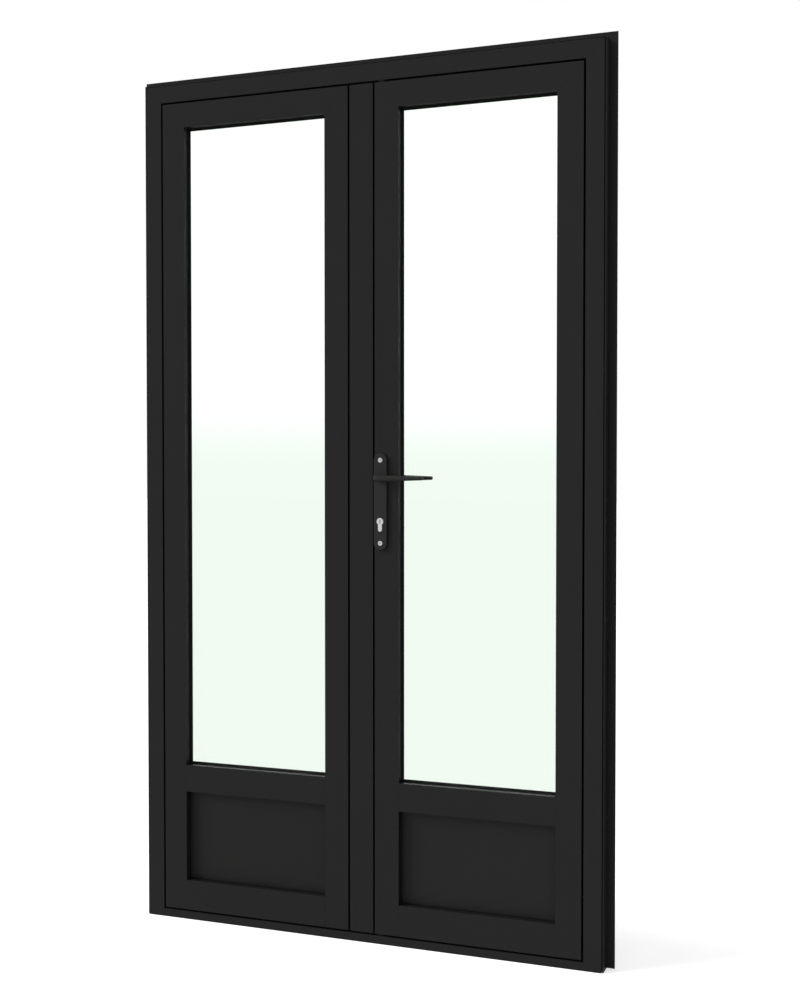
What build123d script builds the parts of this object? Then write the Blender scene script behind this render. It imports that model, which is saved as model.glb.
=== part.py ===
"""French doors: an aluminium frame with two inward-opening leaves, each glazed above and panelled below."""

import os

from build123d import *

os.makedirs("parts", exist_ok=True)

# Frame as seen from outside
frame_width = 1200.0
frame_height = 2150.0
frame_depth = 50.0
frame_face = 44.5
leaf_gap = 5.0
threshold_height = 20.0

# Wing that laps the wall around the opening
wing_reach = 21.5
wing_front = 40.0
wing_thickness = 2.0

# Extruded walls and the hardware channel between frame and leaf
wall = 2.0
edge_lip = 14.0
channel_floor = 36.0
rear_lip = 6.0
cover_groove_width = 1.6
cover_groove_depth = 10.0
rib_reach = 2.6
rib_setback = 2.0
threshold_floor = 11.0

# Weather seal in the rear lip
seal_width = 6.0
seal_stem = 3.0
seal_inset = 1.0
seal_height = 1.2

# Leaf members
leaf_depth = 58.0
stile_face = 62.0
mid_rail_face = 69.0
bottom_rail_face = 76.5
panel_height = 230.5
glazing_lip = 16.0
rebate_height = 22.0
edge_recess = 6.0
overlap = 13.0
overlap_clearance = 1.5
bead_slot_depth = 1.5
bead_slot_width = 2.0

# Glass, panel and their seals
glass_face = 24.0
pane = 4.0
infill_back = 48.0
panel_front = 20.0
edge_cover = 17.0
glass_seal_reach = 4.0
panel_seal_reach = 2.0
seal_edge = 1.0
spacer_width = 11.0
bead_depth = 7.0
bead_height = 14.0
bead_slope = 6.5

# Centre post carried by the left leaf
post_width = 61.0
post_channel = 8.5
post_leg_front = 16.0
post_leg_back = 44.0
post_seal_reach = 3.5
post_seal_width = 4.0
post_seal_setback = 9.0
cap_clearance = 0.5
cap_setback = 10.0
cap_tab_reach = 4.0

# Corner cleats
cleat_reach = 90.0
cleat_clearance = 1.0

# Hinges
hinge_inset = 24.0
hinge_stand = 10.0
hinge_height = 100.0
hinge_radius = 9.0
pin_radius = 5.0
pin_cap = 3.0
knuckle_end = 30.0
knuckle_gap = 1.0
running_fit = 0.05
hinge_plate = 5.0
hinge_plate_edge = 1.0
leaf_plate = 4.0
leaf_plate_reach = 38.0
hinge_end_margin = 250.0

# Wall fixing holes through the jambs
fixing_hole_radius = 4.0
fixing_low = 350.0
fixing_top_margin = 300.0
fixing_count = 4

# Handle set
handle_inset = 17.0
lever_height = 1143.5
key_drop = 105.0
plate_width = 34.0
plate_thickness = 8.0
plate_round = 2.0
screw_over_lever = 44.0
screw_under_key = 53.0
boss_radius = 11.0
boss_height = 5.0
neck_radius = 8.0
lever_stand = 40.0
outer_lever_length = 121.0
inner_lever_length = 98.0
lever_root_radius = 7.0
lever_tip_radius = 4.4
lever_tip_round = 1.2
spindle_size = 8.0
spindle_grip = 16.0
screw_head_radius = 5.6
screw_head_depth = 3.0
screw_radius = 2.5
screw_clearance = 0.3
socket_size = 3.0
socket_depth = 2.0

# Lock
lock_depth = 35.0
case_thickness = 16.0
case_wall = 1.5
case_back = 35.0
case_over = 62.0
case_under = 140.0
faceplate_thickness = 3.0
faceplate_width = 20.0
faceplate_margin = 25.0
bolt_thickness = 12.0
bolt_height = 26.0
bolt_rise = 8.0
bolt_length = 17.0
bolt_head = 9.0
bolt_clearance = 0.3
tail_length = 12.0
tail_thickness = 5.0
tail_height = 14.0
tail_slot_height = 9.5
crank_radius = 14.0
crank_turn_degrees = 30.0
crank_pin_radius = 2.5
crank_pin_clearance = 0.25
crank_width = 7.0
hub_radius = 9.0
hub_thickness = 4.0
hub_tail_gap = 0.5
trunnion_radius = 7.0
strike_thickness = 2.0
strike_margin = 30.0

# Key cylinder of the usual European outline
key_radius = 8.5
key_leg_width = 10.0
key_height = 33.0
key_proud = 1.0
key_clearance = 0.3
plug_radius = 6.5
cam_radius = 14.0
cam_width = 8.0
cam_thickness = 9.5
cam_hub_radius = 8.0
cam_side_gap = 0.8
keyway_width = 2.2
keyway_height = 8.5
keyway_depth = 20.0

# Slide bolts in the edge of the centre post
slide_width = 18.0
slide_thickness = 5.0
slide_length = 260.0
slide_tip_radius = 4.0
slide_tip_length = 18.0
slide_clearance = 0.3
slide_setback = 1.0
knob_width = 10.0
knob_height = 14.0
knob_rise = 2.2
guide_height = 14.0
guide_wall = 2.0
guide_cover = 1.2
guide_shares = (0.25, 0.75)
keep_hole_clearance = 0.4

# Places worked out from the sizes above
DEPTH = Vector(0, 1, 0)
RIGHT = Vector(1, 0, 0)
UP = Vector(0, 0, 1)
half_width = frame_width / 2
post_half = post_width / 2
wing_back = wing_front + wing_thickness
rear_lip_front = frame_depth - rear_lip
leaf_outer = half_width - frame_face - leaf_gap
leaf_inner = post_half + leaf_gap
leaf_top = frame_height - frame_face - leaf_gap
leaf_bottom = threshold_height + leaf_gap
stile_body = stile_face - rebate_height
flange_front = frame_depth + overlap_clearance
bead_front = leaf_depth - bead_depth
bead_slot_front = bead_front + wall
bead_slot_back = bead_slot_front + bead_slot_width
infill_edge = stile_face - edge_cover
seal_start = infill_edge + seal_edge
panel_low = leaf_bottom + bottom_rail_face
panel_high = panel_low + panel_height
glass_low = panel_high + mid_rail_face
glass_high = leaf_top - stile_face
handle_x = leaf_inner + handle_inset
hinge_x = half_width - hinge_inset
hinge_y = frame_depth + hinge_stand
key_z = lever_height - key_drop
hinge_heights = (hinge_end_margin, frame_height / 2, frame_height - hinge_end_margin)
fixing_step = (frame_height - fixing_top_margin - fixing_low) / (fixing_count - 1)
screw_heights = (lever_height + screw_over_lever, key_z - screw_under_key)
channel_middle = (edge_lip + rear_lip_front) / 2
lock_front = lock_depth - case_thickness / 2
lock_back = lock_depth + case_thickness / 2
hub_front = lock_front + case_wall + hub_tail_gap
hub_back = hub_front + hub_thickness
tail_front = hub_back + hub_tail_gap


def save(name, *shapes):
    """Writes one node, with the origin under the middle of the frame's depth."""
    place = Pos(0, -frame_depth / 2, 0)
    solids = [place * solid for shape in shapes for solid in shape.solids()]
    whole = solids[0] if len(solids) == 1 else Compound(children=solids)
    whole.label = name
    export_step(whole, f"parts/{name}.step")


def block(x, y, z):
    """Box between two values along each axis."""
    spans = [sorted(span) for span in (x, y, z)]
    centre = [(low + high) / 2 for low, high in spans]
    return Pos(*centre) * Box(*[high - low for low, high in spans])


def bar(outline, start, across, along, length):
    """Straight bar: a closed outline of (across, depth) corners pushed out along a direction."""
    corners = [start + across * u + DEPTH * d for u, d in outline]
    return extrude(make_face(Polyline(*corners, close=True)), amount=length, dir=along)


def window(u, d):
    """Corners of a rectangle between two values each way."""
    return [(u[0], d[0]), (u[1], d[0]), (u[1], d[1]), (u[0], d[1])]


def hollow(outline, chambers, start, across, along, length):
    """Extruded bar with straight chambers through its length."""
    whole = bar(outline, start, across, along, length)
    for chamber in chambers:
        whole -= bar(chamber, start, across, along, length)
    return whole


def keep_side(shape, point, normal):
    """The part of a shape on the side of a plane that its normal points to."""
    return split(shape, bisect_by=Plane(origin=point, z_dir=normal), keep=Keep.TOP)


def pin(radius, x, y, z):
    """Round bar along depth between two depths."""
    length = y[1] - y[0]
    middle = Plane(origin=(x, (y[0] + y[1]) / 2, z), z_dir=DEPTH)
    return middle * Cylinder(radius, length)


def post(radius, x, y, z):
    """Upright round bar between two heights."""
    return Pos(x, y, (z[0] + z[1]) / 2) * Cylinder(radius, z[1] - z[0])


def ring(x, z, y, border):
    """Flat rectangular frame of a given border between two depths."""
    inner_x = (x[0] + border, x[1] - border)
    inner_z = (z[0] + border, z[1] - border)
    return block(x, y, z) - block(inner_x, y, inner_z)


def wedge_ring(x, z, y, front_border, back_border):
    """Rectangular seal whose opening narrows from front to back."""
    faces = []
    for depth, border in zip(y, (front_border, back_border)):
        corners = [
            (x[0] + border, depth, z[0] + border),
            (x[1] - border, depth, z[0] + border),
            (x[1] - border, depth, z[1] - border),
            (x[0] + border, depth, z[1] - border),
        ]
        faces.append(make_face(Polyline(*corners, close=True)))
    return block(x, y, z) - loft(faces, ruled=True)


def frame_outline():
    """Jamb and head: front face, hardware channel, seal groove, wing, outer rib and cover groove."""
    stem_inner = frame_face - seal_inset - (seal_width - seal_stem) / 2
    stem_outer = stem_inner - seal_stem
    stem_floor = frame_depth - seal_stem
    return [
        (cover_groove_width, 0),
        (frame_face, 0),
        (frame_face, edge_lip),
        (channel_floor, edge_lip),
        (channel_floor, rear_lip_front),
        (frame_face, rear_lip_front),
        (frame_face, frame_depth),
        (stem_inner, frame_depth),
        (stem_inner, stem_floor),
        (stem_outer, stem_floor),
        (stem_outer, frame_depth),
        (-rib_reach, frame_depth),
        (-rib_reach, wing_back),
        (-wing_reach, wing_back),
        (-wing_reach, wing_front),
        (-rib_reach, wing_front),
        (-rib_reach, rib_setback),
        (0, rib_setback),
        (0, cover_groove_depth),
        (cover_groove_width, cover_groove_depth),
    ]


def frame_chambers():
    """Front and rear chambers of the jamb and head."""
    front = window((cover_groove_width + wall, frame_face - wall), (wall, edge_lip - wall))
    rear = window((wall - rib_reach, channel_floor - wall), (edge_lip, frame_depth - wall))
    return [front, rear]


def build_frame():
    """Mitred head and jambs, with the threshold between the jambs."""
    length = frame_height + wing_reach
    cut_left = (-half_width, 0, frame_height)
    cut_right = (half_width, 0, frame_height)
    left = hollow(frame_outline(), frame_chambers(), Vector(-half_width, 0, 0), RIGHT, UP, length)
    left = keep_side(left, cut_left, (-1, 0, -1))
    for height in [fixing_low + fixing_step * i for i in range(fixing_count)]:
        axle = Plane(origin=(-half_width, channel_middle, height), z_dir=RIGHT)
        left -= axle * Cylinder(fixing_hole_radius, frame_face * 2)
    right = mirror(left, Plane.YZ)
    start = Vector(-half_width - wing_reach, 0, frame_height)
    head = hollow(frame_outline(), frame_chambers(), start, -UP, RIGHT, frame_width + wing_reach * 2)
    head = keep_side(head, cut_left, (1, 0, 1))
    head = keep_side(head, cut_right, (-1, 0, 1))
    return left, right, head


def build_threshold():
    """Low threshold with the same lips and channel as the frame."""
    stem_inner = threshold_height - seal_inset - (seal_width - seal_stem) / 2
    stem_outer = stem_inner - seal_stem
    stem_floor = frame_depth - seal_stem
    outline = [
        (0, 0),
        (threshold_height, 0),
        (threshold_height, edge_lip),
        (threshold_floor, edge_lip),
        (threshold_floor, rear_lip_front),
        (threshold_height, rear_lip_front),
        (threshold_height, frame_depth),
        (stem_inner, frame_depth),
        (stem_inner, stem_floor),
        (stem_outer, stem_floor),
        (stem_outer, frame_depth),
        (0, frame_depth),
    ]
    front = window((wall, threshold_height - wall), (wall, edge_lip - wall))
    rear = window((wall, threshold_floor - wall), (edge_lip, rear_lip_front - wall))
    inside = half_width - frame_face
    return hollow(outline, [front, rear], Vector(-inside, 0, 0), UP, RIGHT, inside * 2)


def build_frame_seal():
    """Closed seal around the rear lips, with its stem in the groove."""
    reach = half_width - frame_face + seal_inset + seal_width
    low = threshold_height - seal_inset - seal_width
    high = frame_height - frame_face + seal_inset + seal_width
    stem_edge = (seal_width - seal_stem) / 2
    head = ring((-reach, reach), (low, high), (frame_depth, frame_depth + seal_height), seal_width)
    stem_x = (stem_edge - reach, reach - stem_edge)
    stem_z = (low + stem_edge, high - stem_edge)
    return head + ring(stem_x, stem_z, (frame_depth - seal_stem, frame_depth), seal_stem)


def corner_cleat(x_corner, side, z_corner, inner, outer, depths):
    """Bent corner block that joins two mitred bars inside their chambers."""
    x = [x_corner - side * v for v in (inner, outer, inner + cleat_reach)]
    z = [z_corner - v for v in (inner, outer, inner + cleat_reach)]
    upright = block((x[0], x[1]), depths, (z[0], z[-1]))
    return upright + block((x[0], x[-1]), depths, (z[0], z[1]))


def leaf_outline(face, flange):
    """Stile or rail: face, glazing lip, rebate with bead slot, inner overlap and edge recess."""
    body = face - rebate_height
    slot = body - bead_slot_depth
    edge = [(-overlap, leaf_depth), (-overlap, flange_front), (edge_recess, flange_front)]
    return [
        (0, 0),
        (face, 0),
        (face, glazing_lip),
        (body, glazing_lip),
        (body, bead_slot_front),
        (slot, bead_slot_front),
        (slot, bead_slot_back),
        (body, bead_slot_back),
        (body, leaf_depth),
        *(edge if flange else [(edge_recess, leaf_depth)]),
        (edge_recess, edge_lip),
        (0, edge_lip),
    ]


def leaf_chambers(face):
    """Front and main chambers of a stile or rail."""
    inner = face - rebate_height - bead_slot_depth - wall
    front = window((wall, face - wall), (wall, edge_lip - wall))
    main = window((edge_recess + wall, inner), (edge_lip, leaf_depth - wall))
    return [front, main]


def build_stiles(side):
    """Hinge and meeting stiles, mitred at the top and square at the bottom."""
    length = leaf_top - leaf_bottom + overlap
    hinge_start = Vector(side * leaf_outer, 0, leaf_bottom)
    meet_start = Vector(side * leaf_inner, 0, leaf_bottom)
    chambers = leaf_chambers(stile_face)
    hinge = hollow(leaf_outline(stile_face, True), chambers, hinge_start, -RIGHT * side, UP, length)
    hinge = keep_side(hinge, (side * leaf_outer, 0, leaf_top), (side, 0, -1))
    meet_outline = leaf_outline(stile_face, side < 0)
    meeting = hollow(meet_outline, chambers, meet_start, RIGHT * side, UP, length)
    meeting = keep_side(meeting, (side * leaf_inner, 0, leaf_top), (-side, 0, -1))
    return hinge, meeting


def build_top_rail(side):
    """Top rail, mitred at both ends."""
    reach = leaf_outer - leaf_inner + overlap * 2
    start = Vector(side * (leaf_inner - overlap), 0, leaf_top)
    outline = leaf_outline(stile_face, True)
    rail = hollow(outline, leaf_chambers(stile_face), start, -UP, RIGHT * side, reach)
    rail = keep_side(rail, (side * leaf_outer, 0, leaf_top), (-side, 0, 1))
    rail = keep_side(rail, (side * leaf_inner, 0, leaf_top), (side, 0, 1))
    if side > 0:
        rail = keep_side(rail, (leaf_inner, 0, 0), (1, 0, 0))
    return rail


def build_mid_rail(side):
    """Rail between glass and panel, with a glazing lip on both sides and coped ends."""
    face_x = [side * v for v in (leaf_inner + stile_face, leaf_outer - stile_face)]
    body_x = [side * v for v in (leaf_inner + stile_body, leaf_outer - stile_body)]
    body_z = (panel_high + rebate_height, glass_low - rebate_height)
    rail = block(face_x, (0, glazing_lip), (panel_high, glass_low))
    rail += block(body_x, (glazing_lip, leaf_depth), body_z)
    slot_y = (bead_slot_front, bead_slot_back)
    rail -= block(body_x, slot_y, (body_z[0], body_z[0] + bead_slot_depth))
    rail -= block(body_x, slot_y, (body_z[1] - bead_slot_depth, body_z[1]))
    front_z = (panel_high + wall, glass_low - wall)
    rail -= block(face_x, (wall, edge_lip - wall), front_z)
    skin = bead_slot_depth + wall
    main_z = (body_z[0] + skin, body_z[1] - skin)
    return rail - block(body_x, (glazing_lip, leaf_depth - wall), main_z)


def build_bottom_rail(side):
    """Bottom rail coped between the stiles, with its overlap running on under them."""
    near = leaf_inner + stile_body
    length = leaf_outer - stile_body - near
    start = Vector(side * near, 0, leaf_bottom)
    outline = leaf_outline(bottom_rail_face, True)
    rail = hollow(outline, leaf_chambers(bottom_rail_face), start, UP, RIGHT * side, length)
    cope_y = (0, glazing_lip)
    cope_z = (leaf_bottom, panel_low)
    for edge in (near, leaf_outer - stile_face):
        rail -= block((side * edge, side * (edge + rebate_height)), cope_y, cope_z)
    skirt_y = (flange_front, leaf_depth)
    skirt_z = (leaf_bottom - overlap, leaf_bottom)
    first = leaf_inner - overlap if side < 0 else leaf_inner
    rail += block((side * first, side * near), skirt_y, skirt_z)
    far = leaf_outer - stile_body
    return rail + block((side * far, side * (leaf_outer + overlap)), skirt_y, skirt_z)


def beads(x, z):
    """Four mitred clip-in beads around one opening, sloped towards the room, with ribs in the slots."""
    outline = [
        (0, bead_front),
        (bead_height, bead_front),
        (bead_height - bead_slope, leaf_depth),
        (0, leaf_depth),
        (0, bead_slot_back),
        (-bead_slot_depth, bead_slot_back),
        (-bead_slot_depth, bead_slot_front),
        (0, bead_slot_front),
    ]
    width = x[1] - x[0]
    height = z[1] - z[0]
    low = bar(outline, Vector(x[0], 0, z[0]), UP, RIGHT, width)
    high = bar(outline, Vector(x[0], 0, z[1]), -UP, RIGHT, width)
    left = bar(outline, Vector(x[0], 0, z[0]), RIGHT, UP, height)
    right = bar(outline, Vector(x[1], 0, z[0]), -RIGHT, UP, height)
    cuts = []
    for rail, end, level in ((low, z[0], -1), (high, z[1], 1)):
        rail = keep_side(rail, (x[0], 0, end), (1, 0, level))
        cuts.append(keep_side(rail, (x[1], 0, end), (-1, 0, level)))
    for stile, edge, side in ((left, x[0], -1), (right, x[1], 1)):
        stile = keep_side(stile, (edge, 0, z[0]), (side, 0, 1))
        cuts.append(keep_side(stile, (edge, 0, z[1]), (side, 0, -1)))
    return cuts


def build_infill(side, name):
    """Double glazing, panel, seals and beads of one leaf."""
    x_stop = sorted(side * v for v in (leaf_inner + stile_body, leaf_outer - stile_body))
    margin = infill_edge - stile_body
    x = (x_stop[0] + margin, x_stop[1] - margin)
    glass_stop = (glass_low - rebate_height, glass_high + rebate_height)
    panel_stop = (panel_low - rebate_height, panel_high + rebate_height)
    glass_z = (glass_stop[0] + margin, glass_stop[1] - margin)
    panel_z = (panel_stop[0] + margin, panel_stop[1] - margin)
    cavity = (glass_face + pane, infill_back - pane)
    save(f"{name}_outer_pane", block(x, (glass_face, cavity[0]), glass_z))
    save(f"{name}_inner_pane", block(x, (cavity[1], infill_back), glass_z))
    save(f"{name}_spacer", ring(x, glass_z, cavity, spacer_width))
    save(f"{name}_panel", block(x, (panel_front, infill_back), panel_z))
    seal_x = (x[0] + seal_edge, x[1] - seal_edge)
    glass_seal_z = (glass_z[0] + seal_edge, glass_z[1] - seal_edge)
    panel_seal_z = (panel_z[0] + seal_edge, panel_z[1] - seal_edge)
    border = stile_face - seal_start
    glass_y = (glazing_lip, glass_face)
    panel_y = (glazing_lip, panel_front)
    glass_seal = wedge_ring(seal_x, glass_seal_z, glass_y, border, border + glass_seal_reach)
    panel_seal = wedge_ring(seal_x, panel_seal_z, panel_y, border, border + panel_seal_reach)
    save(f"{name}_outer_seals", glass_seal, panel_seal)
    inner_y = (infill_back, bead_front)
    inner_border = bead_height - margin - seal_edge
    glass_inner = ring(seal_x, glass_seal_z, inner_y, inner_border)
    save(f"{name}_inner_seals", glass_inner, ring(seal_x, panel_seal_z, inner_y, inner_border))
    save(f"{name}_beads", *beads(x_stop, glass_stop), *beads(x_stop, panel_stop))


def hinge_parts(side, height):
    """Frame half with two knuckles, leaf half with one, and the pin through them."""
    low = height - hinge_height / 2
    high = height + hinge_height / 2
    mid_z = (low + knuckle_end + knuckle_gap, high - knuckle_end - knuckle_gap)
    x = side * hinge_x
    edge = side * (half_width - hinge_plate_edge)
    plate_y = (frame_depth, frame_depth + hinge_plate)
    frame_half = block((edge, x), plate_y, (low, high))
    frame_half += post(hinge_radius, x, hinge_y, (low, low + knuckle_end))
    frame_half += post(hinge_radius, x, hinge_y, (high - knuckle_end, high))
    relief_x = (x, side * (hinge_x + hinge_radius + knuckle_gap))
    relief_z = (low + knuckle_end, high - knuckle_end)
    frame_half -= block(relief_x, plate_y, relief_z)
    frame_half -= post(pin_radius + running_fit, x, hinge_y, (low, high))
    flap_edge = leaf_outer + overlap
    flap_x = (side * flap_edge, side * (flap_edge - leaf_plate_reach))
    flap_y = (leaf_depth, leaf_depth + leaf_plate)
    leaf_half = block(flap_x, flap_y, (low, high)) + block((x, side * flap_edge), flap_y, mid_z)
    leaf_half += post(hinge_radius, x, hinge_y, mid_z)
    leaf_half -= post(pin_radius + running_fit, x, hinge_y, (low, high))
    hinge_pin = post(pin_radius, x, hinge_y, (low, high))
    hinge_pin += post(hinge_radius, x, hinge_y, (high, high + pin_cap))
    return frame_half, leaf_half, hinge_pin


def key_profile(grow, depths):
    """Round head with a narrow leg, as a key cylinder is outlined."""
    radius = key_leg_width / 2 + grow
    foot = key_z - key_height + key_radius + key_leg_width / 2
    shape = pin(key_radius + grow, handle_x, depths, key_z) + pin(radius, handle_x, depths, foot)
    return shape + block((handle_x - radius, handle_x + radius), depths, (foot, key_z))


def build_plate(face, outward):
    """Handle plate with round ends, a boss for the lever neck, a key hole and two screw holes."""
    middle = (screw_heights[0] + screw_heights[1]) / 2
    plate_length = screw_heights[0] - screw_heights[1] + plate_width
    out = DEPTH * outward
    base = Plane(origin=(handle_x, face, middle), x_dir=UP, z_dir=out)
    outline = base * SlotOverall(plate_length, plate_width)
    plate = extrude(outline, amount=plate_thickness)
    front = face + outward * plate_thickness
    rim = plate.faces().sort_by(Axis.Y)[-1 if outward > 0 else 0]
    plate = fillet(rim.edges(), plate_round)
    crown = front + outward * boss_height
    plate += pin(boss_radius, handle_x, sorted((front, crown)), lever_height)
    through = sorted((face, crown))
    plate -= pin(neck_radius + running_fit, handle_x, through, lever_height)
    plate -= key_profile(key_clearance, sorted((face, front)))
    for height in screw_heights:
        plate -= pin(screw_radius + screw_clearance, handle_x, sorted((face, front)), height)
        seat = front - outward * screw_head_depth
        plate -= pin(screw_head_radius + screw_clearance, handle_x, sorted((seat, front)), height)
    return plate


def build_plate_screw(height):
    """Through screw with a head in both plates and a hexagon socket in the outer one."""
    front = -plate_thickness
    back = leaf_depth + plate_thickness
    screw = pin(screw_radius, handle_x, (front, back), height)
    screw += pin(screw_head_radius, handle_x, (front, front + screw_head_depth), height)
    screw += pin(screw_head_radius, handle_x, (back - screw_head_depth, back), height)
    socket = Plane(origin=(handle_x, front, height), z_dir=DEPTH) * RegularPolygon(socket_size, 6)
    return screw - extrude(socket, amount=socket_depth)


def build_lever(face, outward, length):
    """Lever: neck out of the plate, round elbow and a bar that tapers to a flat end."""
    seat = face + outward * plate_thickness
    line = face + outward * lever_stand
    lever = pin(neck_radius, handle_x, sorted((seat, line)), lever_height)
    lever += Pos(handle_x, line, lever_height) * Sphere(neck_radius)
    middle = (handle_x + length / 2, line, lever_height)
    taper = Plane(origin=middle, z_dir=RIGHT) * Cone(lever_root_radius, lever_tip_radius, length)
    tip = taper.faces().sort_by(Axis.X)[-1]
    lever += fillet(tip.edges(), lever_tip_round)
    half = spindle_size / 2
    socket_x = (handle_x - half, handle_x + half)
    socket_z = (lever_height - half, lever_height + half)
    return lever - block(socket_x, sorted((seat, seat + outward * spindle_grip)), socket_z)


def build_spindle():
    """Square bar that joins both levers through the hub."""
    half = spindle_size / 2
    reach = plate_thickness + spindle_grip
    x = (handle_x - half, handle_x + half)
    return block(x, (-reach, leaf_depth + reach), (lever_height - half, lever_height + half))


def build_hub():
    """Hub on the spindle, with trunnions in the case and a crank pin that drives the bolt."""
    hub = pin(trunnion_radius, handle_x, (lock_front, lock_back), lever_height)
    hub += pin(hub_radius, handle_x, (hub_front, hub_back), lever_height)
    half = crank_width / 2
    arm = block((-half, half), (hub_front, hub_back), (0, crank_radius))
    arm += pin(half, 0, (hub_front, hub_back), crank_radius)
    arm += pin(crank_pin_radius, 0, (hub_front, tail_front + tail_thickness), crank_radius)
    hub += Pos(handle_x, 0, lever_height) * Rot(0, crank_turn_degrees, 0) * arm
    square = spindle_size / 2
    x = (handle_x - square, handle_x + square)
    return hub - block(x, (lock_front, lock_back), (lever_height - square, lever_height + square))


def build_bolt():
    """Lock bolt with a forked tail around the crank pin, drawn back behind the faceplate."""
    front_x = leaf_inner + edge_recess - faceplate_thickness
    rear_x = front_x + bolt_length
    low = lever_height + bolt_rise
    half = bolt_thickness / 2
    bolt_z = (low, low + bolt_height)
    step_x = front_x + bolt_head
    bolt = block((front_x, step_x), (lock_depth - half, lock_depth + half), bolt_z)
    bolt += block((step_x, rear_x), (tail_front, lock_depth + half), bolt_z)
    tail_y = (tail_front, tail_front + tail_thickness)
    tail_z = (low, low + tail_height)
    bolt += block((rear_x, rear_x + tail_length), tail_y, tail_z)
    crank_x = handle_x + crank_radius / 2
    slot_half = crank_pin_radius + crank_pin_clearance
    slot_z = (tail_z[0], tail_z[0] + tail_slot_height)
    return bolt - block((crank_x - slot_half, crank_x + slot_half), tail_y, slot_z)


def bolt_opening(x):
    """Clear way for the bolt through a plate or wall."""
    half = bolt_thickness / 2 + bolt_clearance
    low = lever_height + bolt_rise - bolt_clearance
    high = lever_height + bolt_rise + bolt_height + bolt_clearance
    return block(x, (lock_depth - half, lock_depth + half), (low, high))


def case_span():
    """Lowest and highest points of the lock case."""
    return (lever_height - case_under, lever_height + case_over)


def build_case():
    """Lock case: a thin box behind the faceplate with bearings for the hub and a key hole."""
    x = (leaf_inner + edge_recess, leaf_inner + case_back)
    low, high = case_span()
    case = block(x, (lock_front, lock_back), (low, high))
    inner_x = (x[0] + case_wall, x[1] - case_wall)
    inner_y = (lock_front + case_wall, lock_back - case_wall)
    case -= block(inner_x, inner_y, (low + case_wall, high - case_wall))
    case -= bolt_opening((x[0], inner_x[0]))
    case -= pin(trunnion_radius + running_fit, handle_x, (lock_front, lock_back), lever_height)
    case -= key_profile(key_clearance, (lock_front, lock_back))
    return case - screw_ways((lock_front, lock_back))


def screw_ways(depths):
    """Clear holes for both plate screws."""
    first, last = screw_heights
    radius = screw_radius + screw_clearance
    return pin(radius, handle_x, depths, first) + pin(radius, handle_x, depths, last)


def build_faceplate():
    """Plate on the edge of the leaf that carries the lock case."""
    x = (leaf_inner + edge_recess - faceplate_thickness, leaf_inner + edge_recess)
    half = faceplate_width / 2
    low, high = case_span()
    span = (low - faceplate_margin, high + faceplate_margin)
    return block(x, (lock_depth - half, lock_depth + half), span) - bolt_opening(x)


def lock_cuts(stile):
    """Openings in the right meeting stile for the lock, spindle, key cylinder and screws."""
    low, high = case_span()
    edge_x = (leaf_inner + edge_recess, leaf_inner + edge_recess + wall)
    stile -= block(edge_x, (lock_front, lock_back), (low, high))
    depths = (0, leaf_depth)
    stile -= pin(neck_radius, handle_x, depths, lever_height)
    stile -= key_profile(key_clearance, depths)
    return stile - screw_ways(depths)


def build_key_cylinder():
    """Key cylinder body with a bore for the plug and a gap for the cam."""
    depths = (-plate_thickness - key_proud, leaf_depth + plate_thickness + key_proud)
    body = key_profile(0, depths)
    body -= pin(plug_radius + running_fit, handle_x, depths, key_z)
    half = cam_thickness / 2 + cam_side_gap
    gap_y = (lock_depth - half, lock_depth + half)
    gap_x = (handle_x - key_radius, handle_x + key_radius)
    return body - block(gap_x, gap_y, (key_z - cam_radius - cam_side_gap, key_z + key_radius))


def build_key_plug():
    """Plug that the key turns, with the cam in the middle and a keyway at each end."""
    depths = (-plate_thickness - key_proud, leaf_depth + plate_thickness + key_proud)
    plug = pin(plug_radius, handle_x, depths, key_z)
    half = cam_thickness / 2
    cam_y = (lock_depth - half, lock_depth + half)
    plug += pin(cam_hub_radius, handle_x, cam_y, key_z)
    cam_x = (handle_x - cam_width / 2, handle_x + cam_width / 2)
    plug += block(cam_x, cam_y, (key_z - cam_radius, key_z))
    slot_x = (handle_x - keyway_width / 2, handle_x + keyway_width / 2)
    slot_z = (key_z - keyway_height / 2, key_z + keyway_height / 2)
    plug -= block(slot_x, (depths[0], depths[0] + keyway_depth), slot_z)
    return plug - block(slot_x, (depths[1] - keyway_depth, depths[1]), slot_z)


def post_outline():
    """Centre post: face, hardware channel on the right and a leg against the left leaf."""
    floor = post_half - post_channel
    leg = leaf_inner + edge_recess
    return [
        (-post_half, 0),
        (post_half, 0),
        (post_half, edge_lip),
        (floor, edge_lip),
        (floor, rear_lip_front),
        (post_half, rear_lip_front),
        (post_half, frame_depth),
        (-post_half, frame_depth),
        (-post_half, post_leg_back),
        (-leg, post_leg_back),
        (-leg, post_leg_front),
        (-post_half, post_leg_front),
    ]


def build_post():
    """Hollow centre post over the full height of the leaf."""
    floor = post_half - post_channel
    leg = leaf_inner + edge_recess
    front = window((wall - post_half, post_half - wall), (wall, edge_lip - wall))
    main = window((wall - post_half, floor - wall), (post_leg_front, frame_depth - wall))
    side = window((wall - leg, -post_half), (post_leg_front + wall, post_leg_back - wall))
    start = Vector(0, 0, leaf_bottom)
    return hollow(post_outline(), [front, main, side], start, RIGHT, UP, leaf_top - leaf_bottom)


def build_post_caps():
    """End caps that close the gap above and below the post, with a tab over the joint to the right leaf."""
    height = leaf_gap - cap_clearance
    front = block((-post_half, post_half), (0, cap_setback), (0, frame_height))
    caps = []
    for low in (threshold_height + cap_clearance, leaf_top):
        cap = bar(post_outline(), Vector(0, 0, low), RIGHT, UP, height) - front
        tab_x = (post_half, post_half + cap_tab_reach)
        caps.append(cap + block(tab_x, (rear_lip_front, frame_depth), (low, low + height)))
    return caps


def slide_depths(width):
    """Depths of a piece centred in the post's channel."""
    return (channel_middle - width / 2, channel_middle + width / 2)


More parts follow.
